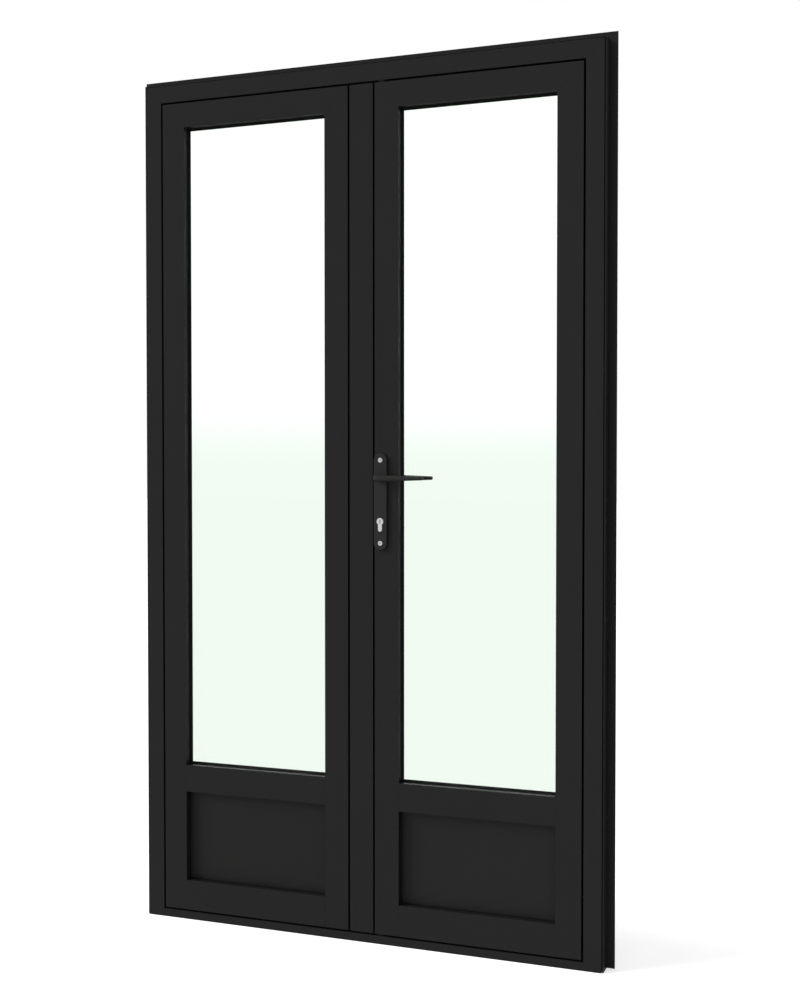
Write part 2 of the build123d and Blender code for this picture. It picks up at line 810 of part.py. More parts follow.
def slide_parts():
    """Upper and lower slide bolts, and the brackets that guide them in the post's channel."""
    floor = post_half - post_channel
    x = (floor + slide_clearance, floor + slide_clearance + slide_thickness)
    tip_x = x[0] + slide_tip_radius
    tip_y = channel_middle
    knob_x = (x[1], x[1] + knob_rise)
    bolts, guides = [], []
    for end, direction in ((leaf_top, -1), (leaf_bottom, 1)):
        first = end + direction * slide_setback
        shoulder = first + direction * slide_tip_length
        last = shoulder + direction * slide_length
        bolt = block(x, slide_depths(slide_width), (shoulder, last))
        bolt += post(slide_tip_radius, tip_x, tip_y, sorted((first, shoulder)))
        middle = (shoulder + last) / 2
        knob_z = (middle - knob_height / 2, middle + knob_height / 2)
        bolts.append(bolt + block(knob_x, slide_depths(knob_width), knob_z))
        for share in guide_shares:
            centre = shoulder + direction * slide_length * share
            z = (centre - guide_height / 2, centre + guide_height / 2)
            way = slide_width + slide_clearance * 2
            cover = x[1] + slide_clearance
            guide = block((floor, cover + guide_cover), slide_depths(way + guide_wall * 2), z)
            guides.append(guide - block((floor, cover), slide_depths(way), z))
    return bolts, guides, (tip_x, tip_y)


def build_keeps(tip):
    """Keeps in the head and threshold channels, and the holes that the slide bolts need."""
    radius = slide_tip_radius + keep_hole_clearance
    y = (edge_lip, rear_lip_front)
    x = (tip[0] - slide_width, tip[0] + slide_width)
    head_z = (frame_height - frame_face, frame_height - channel_floor)
    base_z = (threshold_floor, threshold_height)
    head_hole = post(radius, tip[0], tip[1], (head_z[0], head_z[1] + wall))
    base_hole = post(radius, tip[0], tip[1], (base_z[0] - wall, base_z[1]))
    return block(x, y, head_z) - head_hole, block(x, y, base_z) - base_hole, head_hole, base_hole


def build_strike():
    """Strike plate across the post's channel, with an opening for the lock bolt."""
    x = (post_half - strike_thickness, post_half)
    low = lever_height + bolt_rise - strike_margin
    high = lever_height + bolt_rise + bolt_height + strike_margin
    return block(x, (edge_lip, rear_lip_front), (low, high)) - bolt_opening(x)


bolts, guides, tip = slide_parts()
head_keep, base_keep, head_hole, base_hole = build_keeps(tip)

left_jamb, right_jamb, head = build_frame()
frame_seal = build_frame_seal()
save("frame_left_jamb", left_jamb - frame_seal)
save("frame_right_jamb", right_jamb - frame_seal)
save("frame_head", head - head_hole)
save("threshold", build_threshold() - base_hole)
save("frame_seal", frame_seal)
save("bolt_keeps", head_keep, base_keep)
cleat_y = (edge_lip, frame_depth - wall)
cleat_a = (wall + cleat_clearance - rib_reach, channel_floor - wall - cleat_clearance)
cleats = [corner_cleat(s * half_width, s, frame_height, *cleat_a, cleat_y) for s in (-1, 1)]
save("frame_cleats", *cleats)

for side, name in ((-1, "left"), (1, "right")):
    hinge_stile, meeting_stile = build_stiles(side)
    save(f"{name}_hinge_stile", hinge_stile)
    save(f"{name}_meeting_stile", lock_cuts(meeting_stile) if side > 0 else meeting_stile)
    save(f"{name}_top_rail", build_top_rail(side))
    save(f"{name}_mid_rail", build_mid_rail(side))
    save(f"{name}_bottom_rail", build_bottom_rail(side))
    leaf_cleat_y = (edge_lip, leaf_depth - wall)
    inset = edge_recess + wall + cleat_clearance
    outset = stile_body - bead_slot_depth - wall - cleat_clearance
    outer_cleat = corner_cleat(side * leaf_outer, side, leaf_top, inset, outset, leaf_cleat_y)
    inner_cleat = corner_cleat(side * leaf_inner, -side, leaf_top, inset, outset, leaf_cleat_y)
    save(f"{name}_cleats", outer_cleat, inner_cleat)
    build_infill(side, name)
    sets = [hinge_parts(side, height) for height in hinge_heights]
    save(f"{name}_frame_hinges", *[parts[0] for parts in sets])
    save(f"{name}_leaf_hinges", *[parts[1] for parts in sets])
    save(f"{name}_hinge_pins", *[parts[-1] for parts in sets])

save("centre_post", build_post())
save("post_caps", *build_post_caps())
seal_y = (post_seal_setback, post_seal_setback + post_seal_width)
save("post_seal", block((post_half, post_half + post_seal_reach), seal_y, (leaf_bottom, leaf_top)))
save("strike_plate", build_strike())
save("upper_slide_bolt", bolts[0])
save("lower_slide_bolt", bolts[-1])
save("slide_guides", *guides)

save("lock_case", build_case())
save("lock_faceplate", build_faceplate())
save("lock_bolt", build_bolt())
save("lock_hub", build_hub())
save("key_cylinder", build_key_cylinder())
save("key_plug", build_key_plug())
save("outer_plate", build_plate(0, -1))
save("inner_plate", build_plate(leaf_depth, 1))
save("outer_lever", build_lever(0, -1, outer_lever_length))
save("inner_lever", build_lever(leaf_depth, 1, inner_lever_length))
save("spindle", build_spindle())
save("plate_screws", *[build_plate_screw(height) for height in screw_heights])
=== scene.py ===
"""French doors dressed for the studio: coated profiles, clear glazing, seals, hinges and the handle set."""

import logging
import math
from dataclasses import dataclass
from enum import Enum
from typing import Sequence

import bmesh
import bpy
import numpy as np
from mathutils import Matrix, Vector


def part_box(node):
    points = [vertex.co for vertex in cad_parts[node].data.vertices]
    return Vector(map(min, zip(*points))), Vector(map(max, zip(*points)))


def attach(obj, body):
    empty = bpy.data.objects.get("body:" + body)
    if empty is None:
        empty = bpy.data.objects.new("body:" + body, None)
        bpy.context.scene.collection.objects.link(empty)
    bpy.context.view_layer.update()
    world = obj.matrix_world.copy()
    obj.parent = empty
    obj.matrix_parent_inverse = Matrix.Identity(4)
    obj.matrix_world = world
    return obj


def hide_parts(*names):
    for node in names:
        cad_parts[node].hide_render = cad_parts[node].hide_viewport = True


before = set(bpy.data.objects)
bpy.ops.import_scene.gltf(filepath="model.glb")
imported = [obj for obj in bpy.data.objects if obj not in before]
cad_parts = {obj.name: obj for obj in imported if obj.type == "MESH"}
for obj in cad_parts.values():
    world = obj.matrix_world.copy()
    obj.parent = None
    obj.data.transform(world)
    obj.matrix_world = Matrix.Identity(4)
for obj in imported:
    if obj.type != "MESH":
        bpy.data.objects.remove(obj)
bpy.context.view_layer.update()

MM = 0.001
LOG = logging.getLogger("french_doors")

# Points closer than these are one: in a new piece, and in a node before its edges are broken.
PIECE_MERGE = 0.001 * MM
NODE_MERGE = 0.005 * MM

# Broken edges: steps across one, and the angle in degrees past which an edge is broken.
EDGE_STEPS = 2
EDGE_DEGREES = 40.0

# Octaves of the noise fields in the surface effects.
TONE_DETAIL = 2.0
GRAIN_DETAIL = 3.0
BRUSH_DETAIL = 1.0

# Sockets of a Mix node that mixes colours.
MIX_FACTOR, MIX_FIRST, MIX_SECOND, MIX_RESULT = 0, 6, 7, 2

# A ray's count of reflections or of passes through glass is at least one where it is above this.
NO_BOUNCE = 0.5

Triple = tuple[float, float, float]
Colour = Triple
Socket = bpy.types.NodeSocket


class Side(Enum):
    """The two leaves as seen from outside."""

    LEFT = "left"
    RIGHT = "right"

    @property
    def sign(self) -> int:
        """Direction from the middle of the doors towards this leaf's hinges."""
        return -1 if self is Side.LEFT else 1

    @property
    def body(self) -> str:
        """Name of the body that this leaf is."""
        return f"{self.value}_leaf"


class Slot(Enum):
    """Names of material slots for coated hardware, black rubber and plain steel."""

    HARDWARE = "coated_hardware"
    RUBBER = "black_rubber"
    STEEL = "plain_steel"


class Board:
    """A node tree with short calls to add nodes and join them."""

    def __init__(self, tree: bpy.types.NodeTree) -> None:
        """Takes an empty tree."""
        self.tree = tree

    @classmethod
    def of(cls, owner: bpy.types.Material | bpy.types.World) -> "Board":
        """Empties the tree of a material or a world.

        Args:
            owner: the material or the world.

        Returns:
            The emptied tree's board.
        """
        owner.use_nodes = True
        owner.node_tree.nodes.clear()
        return cls(owner.node_tree)

    def add(self, kind: str, **values: object) -> bpy.types.Node:
        """Adds a node and sets its properties.

        Args:
            kind: the node's type name.
            **values: properties to set on the node.

        Returns:
            The new node.
        """
        node = self.tree.nodes.new(kind)
        for key, value in values.items():
            setattr(node, key, value)
        return node

    def join(self, source: Socket, target: Socket) -> None:
        """Links an output to an input."""
        self.tree.links.new(source, target)

    def maths(self, operation: str, first: Socket | float, second: Socket | float = 0.0) -> Socket:
        """Adds one sum.

        Args:
            operation: the Math node's operation.
            first: a socket or a number.
            second: a socket or a number.

        Returns:
            The result's socket.
        """
        node = self.add("ShaderNodeMath", operation=operation)
        for target, value in zip(node.inputs, (first, second)):
            if isinstance(value, bpy.types.NodeSocket):
                self.join(value, target)
            else:
                target.default_value = value
        return node.outputs[0]

    def spread(self, value: Socket, low: float, high: float) -> Socket:
        """Maps a value between 0 and 1 to a span.

        Args:
            value: the socket to map.
            low: result at 0.
            high: result at 1.

        Returns:
            The mapped value's socket.
        """
        node = self.add("ShaderNodeMapRange")
        self.join(value, node.inputs["Value"])
        node.inputs["To Min"].default_value = low
        node.inputs["To Max"].default_value = high
        return node.outputs["Result"]

    def blend(self, factor: Socket, first: Colour, second: Colour) -> Socket:
        """Mixes two colours by a factor.

        Args:
            factor: share of the second colour.
            first: colour at 0.
            second: colour at 1.

        Returns:
            The mixed colour's socket.
        """
        node = self.add("ShaderNodeMix", data_type="RGBA")
        self.join(factor, node.inputs[MIX_FACTOR])
        node.inputs[MIX_FIRST].default_value = (*first, 1.0)
        node.inputs[MIX_SECOND].default_value = (*second, 1.0)
        return node.outputs[MIX_RESULT]

    def step(self, value: Socket, start: float, stop: float) -> Socket:
        """Adds a smooth step.

        Args:
            value: the socket that it follows.
            start: value at which the step is 0.
            stop: value at which it is 1.

        Returns:
            The step's socket.
        """
        node = self.add("ShaderNodeMapRange", interpolation_type="SMOOTHSTEP")
        self.join(value, node.inputs["Value"])
        node.inputs["From Min"].default_value = start
        node.inputs["From Max"].default_value = stop
        return node.outputs["Result"]

    def axes(self, system: str) -> bpy.types.Node:
        """Splits a texture coordinate into its axes.

        Args:
            system: the coordinate's name.

        Returns:
            The node whose outputs are X, Y and Z.
        """
        place = self.add("ShaderNodeTexCoord")
        parts = self.add("ShaderNodeSeparateXYZ")
        self.join(place.outputs[system], parts.inputs[0])
        return parts


class Effect(Enum):
    """Surface effects that several finishes share, each one node group."""

    GRAIN = "surface_grain"
    BRUSH = "brush_lines"

    def tree(self) -> bpy.types.NodeTree:
        """Returns the node group, built at its first use."""
        found = bpy.data.node_groups.get(self.value)
        return found or self._build()

    def _build(self) -> bpy.types.NodeTree:
        """Builds a group of two noise fields on stretched coordinates.

        Tone is a broad field and Height a fine one. Grain reads the coordinates as they are. Brush lines
        read them squeezed along one direction, so that the fields draw out into lines.

        Returns:
            The new node group.
        """
        tree = bpy.data.node_groups.new(self.value, "ShaderNodeTree")
        for name in ("Vector", "Stretch"):
            tree.interface.new_socket(name, in_out="INPUT", socket_type="NodeSocketVector")
        for name in ("Broad Scale", "Fine Scale"):
            tree.interface.new_socket(name, in_out="INPUT", socket_type="NodeSocketFloat")
        for name in ("Tone", "Height"):
            tree.interface.new_socket(name, in_out="OUTPUT", socket_type="NodeSocketFloat")
        board = Board(tree)
        given = board.add("NodeGroupInput")
        result = board.add("NodeGroupOutput")
        squeeze = board.add("ShaderNodeVectorMath", operation="MULTIPLY")
        board.join(given.outputs["Vector"], squeeze.inputs[0])
        board.join(given.outputs["Stretch"], squeeze.inputs[1])
        fine_detail = GRAIN_DETAIL if self is Effect.GRAIN else BRUSH_DETAIL
        fields = (("Broad Scale", "Tone", TONE_DETAIL), ("Fine Scale", "Height", fine_detail))
        for scale, output, detail in fields:
            noise = board.add("ShaderNodeTexNoise")
            noise.inputs["Detail"].default_value = detail
            board.join(squeeze.outputs[0], noise.inputs["Vector"])
            board.join(given.outputs[scale], noise.inputs["Scale"])
            board.join(noise.outputs["Fac"], result.inputs[output])
        return tree


@dataclass(frozen=True)
class Finish:
    """A surface finish: its colour, gloss and grain.

    Lengths are in metres and scales in repeats per metre.
    """

    name: str
    colour: Colour
    roughness: float
    specular: float = 0.5
    metallic: float = 0.0
    tone_spread: float = 0.06
    roughness_spread: float = 0.05
    broad_scale: float = 5.0
    fine_scale: float = 700.0
    stretch: Triple = (1.0, 1.0, 1.0)
    effect: Effect = Effect.GRAIN
    bump: float = 0.12
    bump_height: float = 0.05 * MM

    def material(self) -> bpy.types.Material:
        """Returns this finish's material, built at its first use."""
        return bpy.data.materials.get(self.name) or self._build()

    def _shader(self) -> tuple[bpy.types.Material, Board, bpy.types.Node]:
        """Makes a material with a shader and its plain values.

        Returns:
            The material, its board and its shader node.
        """
        material = bpy.data.materials.new(self.name)
        board = Board.of(material)
        shader = board.add("ShaderNodeBsdfPrincipled")
        output = board.add("ShaderNodeOutputMaterial")
        board.join(shader.outputs["BSDF"], output.inputs["Surface"])
        shader.inputs["Metallic"].default_value = self.metallic
        shader.inputs["Specular IOR Level"].default_value = self.specular
        material.diffuse_color = (*self.colour, 1.0)
        material.roughness = self.roughness
        material.metallic = self.metallic
        return material, board, shader

    def _build(self) -> bpy.types.Material:
        """Joins the shared effect to colour, roughness and bump."""
        material, board, shader = self._shader()
        place = board.add("ShaderNodeTexCoord")
        group = board.add("ShaderNodeGroup", node_tree=self.effect.tree())
        board.join(place.outputs["Object"], group.inputs["Vector"])
        group.inputs["Stretch"].default_value = self.stretch
        group.inputs["Broad Scale"].default_value = self.broad_scale
        group.inputs["Fine Scale"].default_value = self.fine_scale
        tone = group.outputs["Tone"]
        darker = tuple(c * (1.0 - self.tone_spread) for c in self.colour)
        lighter = tuple(min(1.0, c * (1.0 + self.tone_spread)) for c in self.colour)
        board.join(board.blend(tone, darker, lighter), shader.inputs["Base Color"])
        shader.inputs["Roughness"].default_value = self.roughness
        if self.roughness_spread:
            low, high = self.roughness - self.roughness_spread, self.roughness + self.roughness_spread
            board.join(board.spread(tone, low, high), shader.inputs["Roughness"])
        bump = board.add("ShaderNodeBump")
        bump.inputs["Strength"].default_value = self.bump
        bump.inputs["Distance"].default_value = self.bump_height
        board.join(group.outputs["Height"], bump.inputs["Height"])
        board.join(bump.outputs["Normal"], shader.inputs["Normal"])
        return material


@dataclass(frozen=True)
class GlassFinish(Finish):
    """Clear float glass with the faint green of its iron and the slight waviness of its making."""

    refraction: float = 1.15

    def _shader(self) -> tuple[bpy.types.Material, Board, bpy.types.Node]:
        """Adds the plain values of clear glass.

        Returns:
            The material, its board and its shader node.
        """
        material, board, shader = super()._shader()
        shader.inputs["IOR"].default_value = self.refraction
        shader.inputs["Transmission Weight"].default_value = 1.0
        return material, board, shader


PROFILE_COAT = Finish("profile_coat", (0.0143, 0.0143, 0.0141), roughness=0.40, specular=0.35)
PANEL_COAT = Finish("panel_coat", (0.0112, 0.0112, 0.0108), roughness=0.58, specular=0.6, fine_scale=500.0)
HANDLE_COAT = Finish("handle_coat", (0.0212, 0.0212, 0.0203), roughness=0.40, specular=0.4, broad_scale=30.0)
HINGE_COAT = Finish("hinge_coat", (0.0180, 0.0180, 0.0178), roughness=0.40, specular=0.35, broad_scale=20.0)
SEAL_RUBBER = Finish("seal_rubber", (0.0060, 0.0060, 0.0062), roughness=0.62, specular=0.2, broad_scale=40.0)
CAP_PLASTIC = Finish("cap_plastic", (0.0075, 0.0075, 0.0075), roughness=0.55, specular=0.25, broad_scale=40.0)
SPACER_BAR = Finish("spacer_strip", (0.030, 0.031, 0.032), roughness=0.5, broad_scale=60.0)
BARE_METAL = Finish(
    "bare_metal", (0.60, 0.61, 0.62), roughness=0.38, metallic=1.0, effect=Effect.BRUSH,
    stretch=(1.0, 1.0, 0.04), broad_scale=120.0, fine_scale=900.0, bump=0.15,
)
BOLT_STEEL = Finish(
    "bolt_steel", (0.52, 0.52, 0.51), roughness=0.34, metallic=1.0, effect=Effect.BRUSH,
    stretch=(1.0, 1.0, 0.05), broad_scale=200.0, fine_scale=1500.0, bump=0.2,
)
NICKEL = Finish(
    "satin_nickel", (0.70, 0.69, 0.68), roughness=0.36, metallic=0.2, effect=Effect.BRUSH,
    stretch=(0.15, 1.0, 1.0), broad_scale=300.0, fine_scale=2500.0, bump=0.15,
)
GLASS = GlassFinish(
    "float_glass", (0.950, 0.998, 0.954), roughness=0.0, tone_spread=0.002, roughness_spread=0.0,
    broad_scale=2.0, fine_scale=4.0, bump=1.0, bump_height=0.04 * MM,
)


def grid_faces(rows: int, columns: int, close_rows: bool, close_columns: bool) -> np.ndarray:
    """Quads of a grid of points numbered row by row.

    Each quad joins a point with its right, diagonal and lower neighbours; a closed direction wraps round.

    Args:
        rows: number of rows.
        columns: number of columns.
        close_rows: whether the last row joins the first.
        close_columns: whether the last column joins the first.

    Returns:
        An array of four point numbers a quad.
    """
    r = np.arange(rows if close_rows else rows - 1)
    c = np.arange(columns if close_columns else columns - 1)
    r, c = (a.ravel() for a in np.meshgrid(r, c, indexing="ij"))
    below, right = (r + 1) % rows, (c + 1) % columns
    corners = (r * columns + c, r * columns + right, below * columns + right, below * columns + c)
    return np.stack(corners, axis=1)


def tiled(points: np.ndarray, faces: np.ndarray, places: np.ndarray) -> tuple[np.ndarray, np.ndarray]:
    """Copies one shape to several places.

    Each copy is the shape plus its place, and its faces count on from the copy before.

    Args:
        points: the shape's points.
        faces: the shape's faces.
        places: one offset a copy.

    Returns:
        All points and all faces.
    """
    copies = places[:, None, :] + points[None, :, :]
    steps = np.arange(len(places))[:, None, None] * len(points)
    return copies.reshape(-1, 3), (faces[None, :, :] + steps).reshape(-1, faces.shape[1])


def put(name: str, data: bpy.types.ID) -> bpy.types.Object:
    """Puts a mesh, a lens or a light into the scene.

    Args:
        name: the object's name.
        data: what the object holds.

    Returns:
        The new object.
    """
    item = bpy.data.objects.new(name, data)
    bpy.context.scene.collection.objects.link(item)
    return item


def make_piece(
    name: str,
    points: np.ndarray,
    faces: np.ndarray,
    finish: Finish,
    body: str,
    stands_for: Sequence[str] = (),
    smooth_degrees: float = 35.0,
) -> bpy.types.Object:
    """Puts a surface into a mesh object that rides on a body.

    Args:
        name: the piece's name.
        points: its points in the shared frame.
        faces: its faces.
        finish: its finish.
        body: the body that it moves with.
        stands_for: nodes that it replaces.
        smooth_degrees: edges sharper than this stay sharp.

    Returns:
        The new object.
    """
    mesh = bpy.data.meshes.new(name)
    mesh.from_pydata(points.tolist(), [], faces.tolist())
    shape = bmesh.new()
    shape.from_mesh(mesh)
    bmesh.ops.remove_doubles(shape, verts=shape.verts, dist=PIECE_MERGE)
    bmesh.ops.recalc_face_normals(shape, faces=shape.faces)
    shape.to_mesh(mesh)
    shape.free()
    mesh.shade_smooth()
    mesh.set_sharp_from_angle(angle=math.radians(smooth_degrees))
    mesh.materials.append(finish.material())
    piece = put(name, mesh)
    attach(piece, body)
    if stands_for:
        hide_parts(*stands_for)
    LOG.info("%s: %d faces on %s", name, len(mesh.polygons), body)
    return piece


def dress(node: str, finish: Finish, edge: float = 0.0) -> None:
    """Gives a node its finish and, where an edge width is given, softly broken edges.

    Args:
        node: the node's name.
        finish: its finish.
        edge: width of the broken edge in metres, or 0 for none.
    """
    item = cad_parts[node]
    item.data.materials.clear()
    item.data.materials.append(finish.material())
    if edge:
        weld = item.modifiers.new("join_corners", "WELD")
        weld.merge_threshold = NODE_MERGE
        bevel = item.modifiers.new("broken_edges", "BEVEL")
        bevel.width = edge
        bevel.segments = EDGE_STEPS
        bevel.limit_method = "ANGLE"
        bevel.angle_limit = math.radians(EDGE_DEGREES)
        bevel.harden_normals = True
    LOG.info("%s: %s", node, finish.name)


@dataclass
class FrameSet:
    """Jambs, head, threshold, their seal, corner cleats and bolt keeps."""

    edge: float = 0.25 * MM
    insert_edge: float = 0.3 * MM
    profiles: tuple[str, ...] = ("frame_head", "frame_left_jamb", "frame_right_jamb", "threshold")

    def build(self) -> None:
        """Dresses the fixed frame."""
        for node in self.profiles:
            dress(node, PROFILE_COAT, self.edge)
        dress("frame_seal", SEAL_RUBBER, self.insert_edge)
        dress("frame_cleats", BARE_METAL)
        dress("bolt_keeps", BOLT_STEEL, self.insert_edge)


@dataclass
class Leaf:
    """One leaf: stiles, rails, beads, glazing, panel and seals."""

    side: Side
    edge: float = 0.25 * MM
    seal_start: float = 1.0 * MM
    lip: float = 17.0 * MM
    glass_lip: float = 22.9 * MM
    panel_lip: float = 18.9 * MM
    nose: float = 0.5 * MM
    slope_power: float = 1.25
    slope_steps: int = 7
    nose_steps: int = 6

    def build(self) -> None:
        """Dresses the leaf's nodes and builds its outer seals."""
        name = self.side.value
        for part in ("hinge_stile", "meeting_stile", "top_rail", "mid_rail", "bottom_rail", "beads"):
            dress(f"{name}_{part}", PROFILE_COAT, self.edge)
        dress(f"{name}_panel", PANEL_COAT)
        dress(f"{name}_cleats", BARE_METAL)
        dress(f"{name}_spacer", SPACER_BAR)
        dress(f"{name}_inner_seals", SEAL_RUBBER)
        for pane in ("outer_pane", "inner_pane"):
            dress(f"{name}_{pane}", GLASS)
            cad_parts[f"{name}_{pane}"].visible_shadow = False
        self._outer_seals()

    def _seal_profile(self, lip: float, depth: float) -> np.ndarray:
        """Section of a glazing seal as (inset, depth from the infill's face).

        From its seat behind the lip it runs straight to the lip's edge, then down a slightly curved slope,
        a power of the share of the way, to a round nose on the infill.

        Args:
            lip: inset of the nose.
            depth: distance from the lip's back to the infill.

        Returns:
            The section's corners in order.
        """
        share = np.linspace(0.0, 1.0, self.slope_steps)
        slope_x = self.lip + (lip - self.nose - self.lip) * share
        slope_y = -depth + (depth - self.nose * 2) * share**self.slope_power
        turn = np.linspace(-math.pi / 2, math.pi / 2, self.nose_steps)
        nose_x = lip - self.nose + self.nose * np.cos(turn)
        nose_y = -self.nose + self.nose * np.sin(turn)
        inset = np.concatenate(([self.seal_start], slope_x, nose_x, [self.seal_start]))
        depths = np.concatenate(([-depth], slope_y, nose_y, [0.0]))
        return np.stack((inset, depths), axis=1)

    def _ring(self, node: str, lip: float, depth: float) -> tuple[np.ndarray, np.ndarray]:
        """Carries the seal's section round an infill with mitred corners.

        Each corner's points are the corner moved inwards along both edges by the section's inset.

        Args:
            node: the infill's node.
            lip: inset of the nose.
            depth: distance from the lip's back to the infill.

        Returns:
            The ring's points and faces.
        """
        low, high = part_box(node)
        section = self._seal_profile(lip, depth)
        corners = np.array([(low.x, low.z), (high.x, low.z), (high.x, high.z), (low.x, high.z)])
        inwards = np.array([(1, 1), (-1, 1), (-1, -1), (1, -1)], float)
        across = corners[:, None, :] + inwards[:, None, :] * section[None, :, :1]
        depths = np.broadcast_to(low.y + section[None, :, 1:], (len(corners), len(section), 1))
        points = np.concatenate((across[..., :1], depths, across[..., 1:]), axis=2)
        return points.reshape(-1, 3), grid_faces(len(corners), len(section), True, True)

    def _outer_seals(self) -> None:
        """Builds the soft seals that show around the glass and the panel."""
        name = self.side.value
        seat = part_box(f"{name}_outer_seals")[0].y
        rings = []
        for infill, lip in ((f"{name}_outer_pane", self.glass_lip), (f"{name}_panel", self.panel_lip)):
            rings.append(self._ring(infill, lip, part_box(infill)[0].y - seat))
        points = np.concatenate([ring[0] for ring in rings])
        faces = np.concatenate([rings[0][1], rings[1][1] + len(rings[0][0])])
        node = f"{name}_outer_seals"
        make_piece(f"{name}_glazing_seals", points, faces, SEAL_RUBBER, self.side.body, [node])


@dataclass(frozen=True)
class Screws:
    """Low screw heads with a hexagon recess.

    The crown's shares are pairs of a ring's radius and height, from under the head to its flat top.
    """

    radius: float = 3.6 * MM
    rise: float = 0.7 * MM
    recess: float = 1.5 * MM
    depth: float = 1.4 * MM
    steps: int = 24
    crown_shares: tuple[tuple[float, float], ...] = (
        (0.0, -0.2), (1.0, -0.2), (1.0, 0.35), (0.93, 0.75), (0.8, 0.95), (0.62, 1.0),
    )
    recess_floor_share: float = 0.9

    def head(self, normal: Vector) -> tuple[np.ndarray, np.ndarray]:
        """One head standing on the origin.

        Rings of points run from under the head over its rim and crown into the recess. A ring's radius is
        constant, but in the recess it follows a hexagon: the flat's distance over the cosine of the angle
        from that flat's middle.

        Args:
            normal: direction that the head faces.

        Returns:
            The head's points and faces.
        """
        angle = np.arange(self.steps) * 2 * math.pi / self.steps
        flat = np.mod(angle, math.pi / 3) - math.pi / 6
        hexagon = self.recess / np.cos(flat) / self.radius
        even = np.ones_like(angle)
        sunk = self.depth / self.rise
        rings = [(even * radius, height) for radius, height in self.crown_shares]
        rings += [(hexagon, 1.0), (hexagon, 1.0 - sunk), (even * 0.0, self.recess_floor_share - sunk)]
        radii = np.stack([ring[0] for ring in rings]) * self.radius
        heights = np.array([ring[1] for ring in rings])[:, None] * self.rise
        turn = normal.to_track_quat("Z", "Y").to_matrix()
        flat_points = np.stack((radii * np.cos(angle), radii * np.sin(angle), radii * 0 + heights), axis=2)
        points = flat_points.reshape(-1, 3) @ np.array(turn).T
        return points, grid_faces(len(rings), self.steps, False, True)

    def build(self, name: str, places: np.ndarray, normal: Vector, body: str) -> None:
        """Sets heads at several places as one piece.

        Args:
            name: the piece's name.
            places: points on the plate that carries them.
            normal: direction that the heads face.
            body: the body that they move with.
        """
        points, faces = tiled(*self.head(normal), places)
        make_piece(name, points, faces, BOLT_STEEL, body)


HINGE_SCREWS = Screws()
PLATE_SCREWS = Screws(radius=3.2 * MM, rise=0.35 * MM)


@dataclass
class Hinges:
    """The hinges of one leaf, with their pins and screws."""

    side: Side
    count: int = 3
    edge: float = 0.4 * MM
    length: float = 100.0 * MM
    frame_plate: float = 5.0 * MM
    leaf_plate: float = 4.0 * MM
    frame_inset: float = 7.0 * MM
    near_inset: float = 9.0 * MM
    far_inset: float = 20.0 * MM
    outer_step: float = 38.0 * MM
    inner_step: float = 14.0 * MM
    screws: Screws = HINGE_SCREWS

    def build(self) -> None:
        """Dresses the hinges and sets their screws."""
        name = self.side.value
        dress(f"{name}_frame_hinges", HINGE_COAT, self.edge)
        dress(f"{name}_leaf_hinges", HINGE_COAT, self.edge)
        dress(f"{name}_hinge_pins", BOLT_STEEL, self.edge)
        low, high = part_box(f"{name}_frame_hinges")
        middles = np.linspace(low.z + self.length / 2, high.z - self.length / 2, self.count)
        edge = high.x if self.side is Side.RIGHT else low.x
        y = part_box("frame_head")[1].y + self.frame_plate
        insets = np.array([-self.frame_inset])
        self._set_screws(f"{name}_frame_hinge_screws", edge, insets, y, middles, "frame")
        low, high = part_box(f"{name}_leaf_hinges")
        edge = low.x if self.side is Side.RIGHT else high.x
        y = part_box(f"{name}_hinge_stile")[1].y + self.leaf_plate
        insets = np.array([self.near_inset, self.far_inset, self.far_inset, self.near_inset])
        self._set_screws(f"{name}_leaf_hinge_screws", edge, insets, y, middles, self.side.body)

    def _set_screws(
        self, name: str, edge: float, insets: np.ndarray, depth: float, middles: np.ndarray, body: str
    ) -> None:
        """Sets four screws on each hinge plate of one half.

        Args:
            name: the piece's name.
            edge: the plates' free edge across the doors.
            insets: distance of each screw, or of all, from that edge, towards the hinge side where positive.
            depth: the plates' face.
            middles: heights of the hinges' middles.
            body: the body that the plates belong to.
        """
        steps = np.array([-self.outer_step, -self.inner_step, self.inner_step, self.outer_step])
        heights = middles[:, None] + steps[None, :]
        across = np.broadcast_to(edge + self.side.sign * insets, heights.shape)
        places = np.stack((across, np.full_like(heights, depth), heights), axis=2).reshape(-1, 3)
        self.screws.build(name, places, Vector((0.0, 1.0, 0.0)), body)


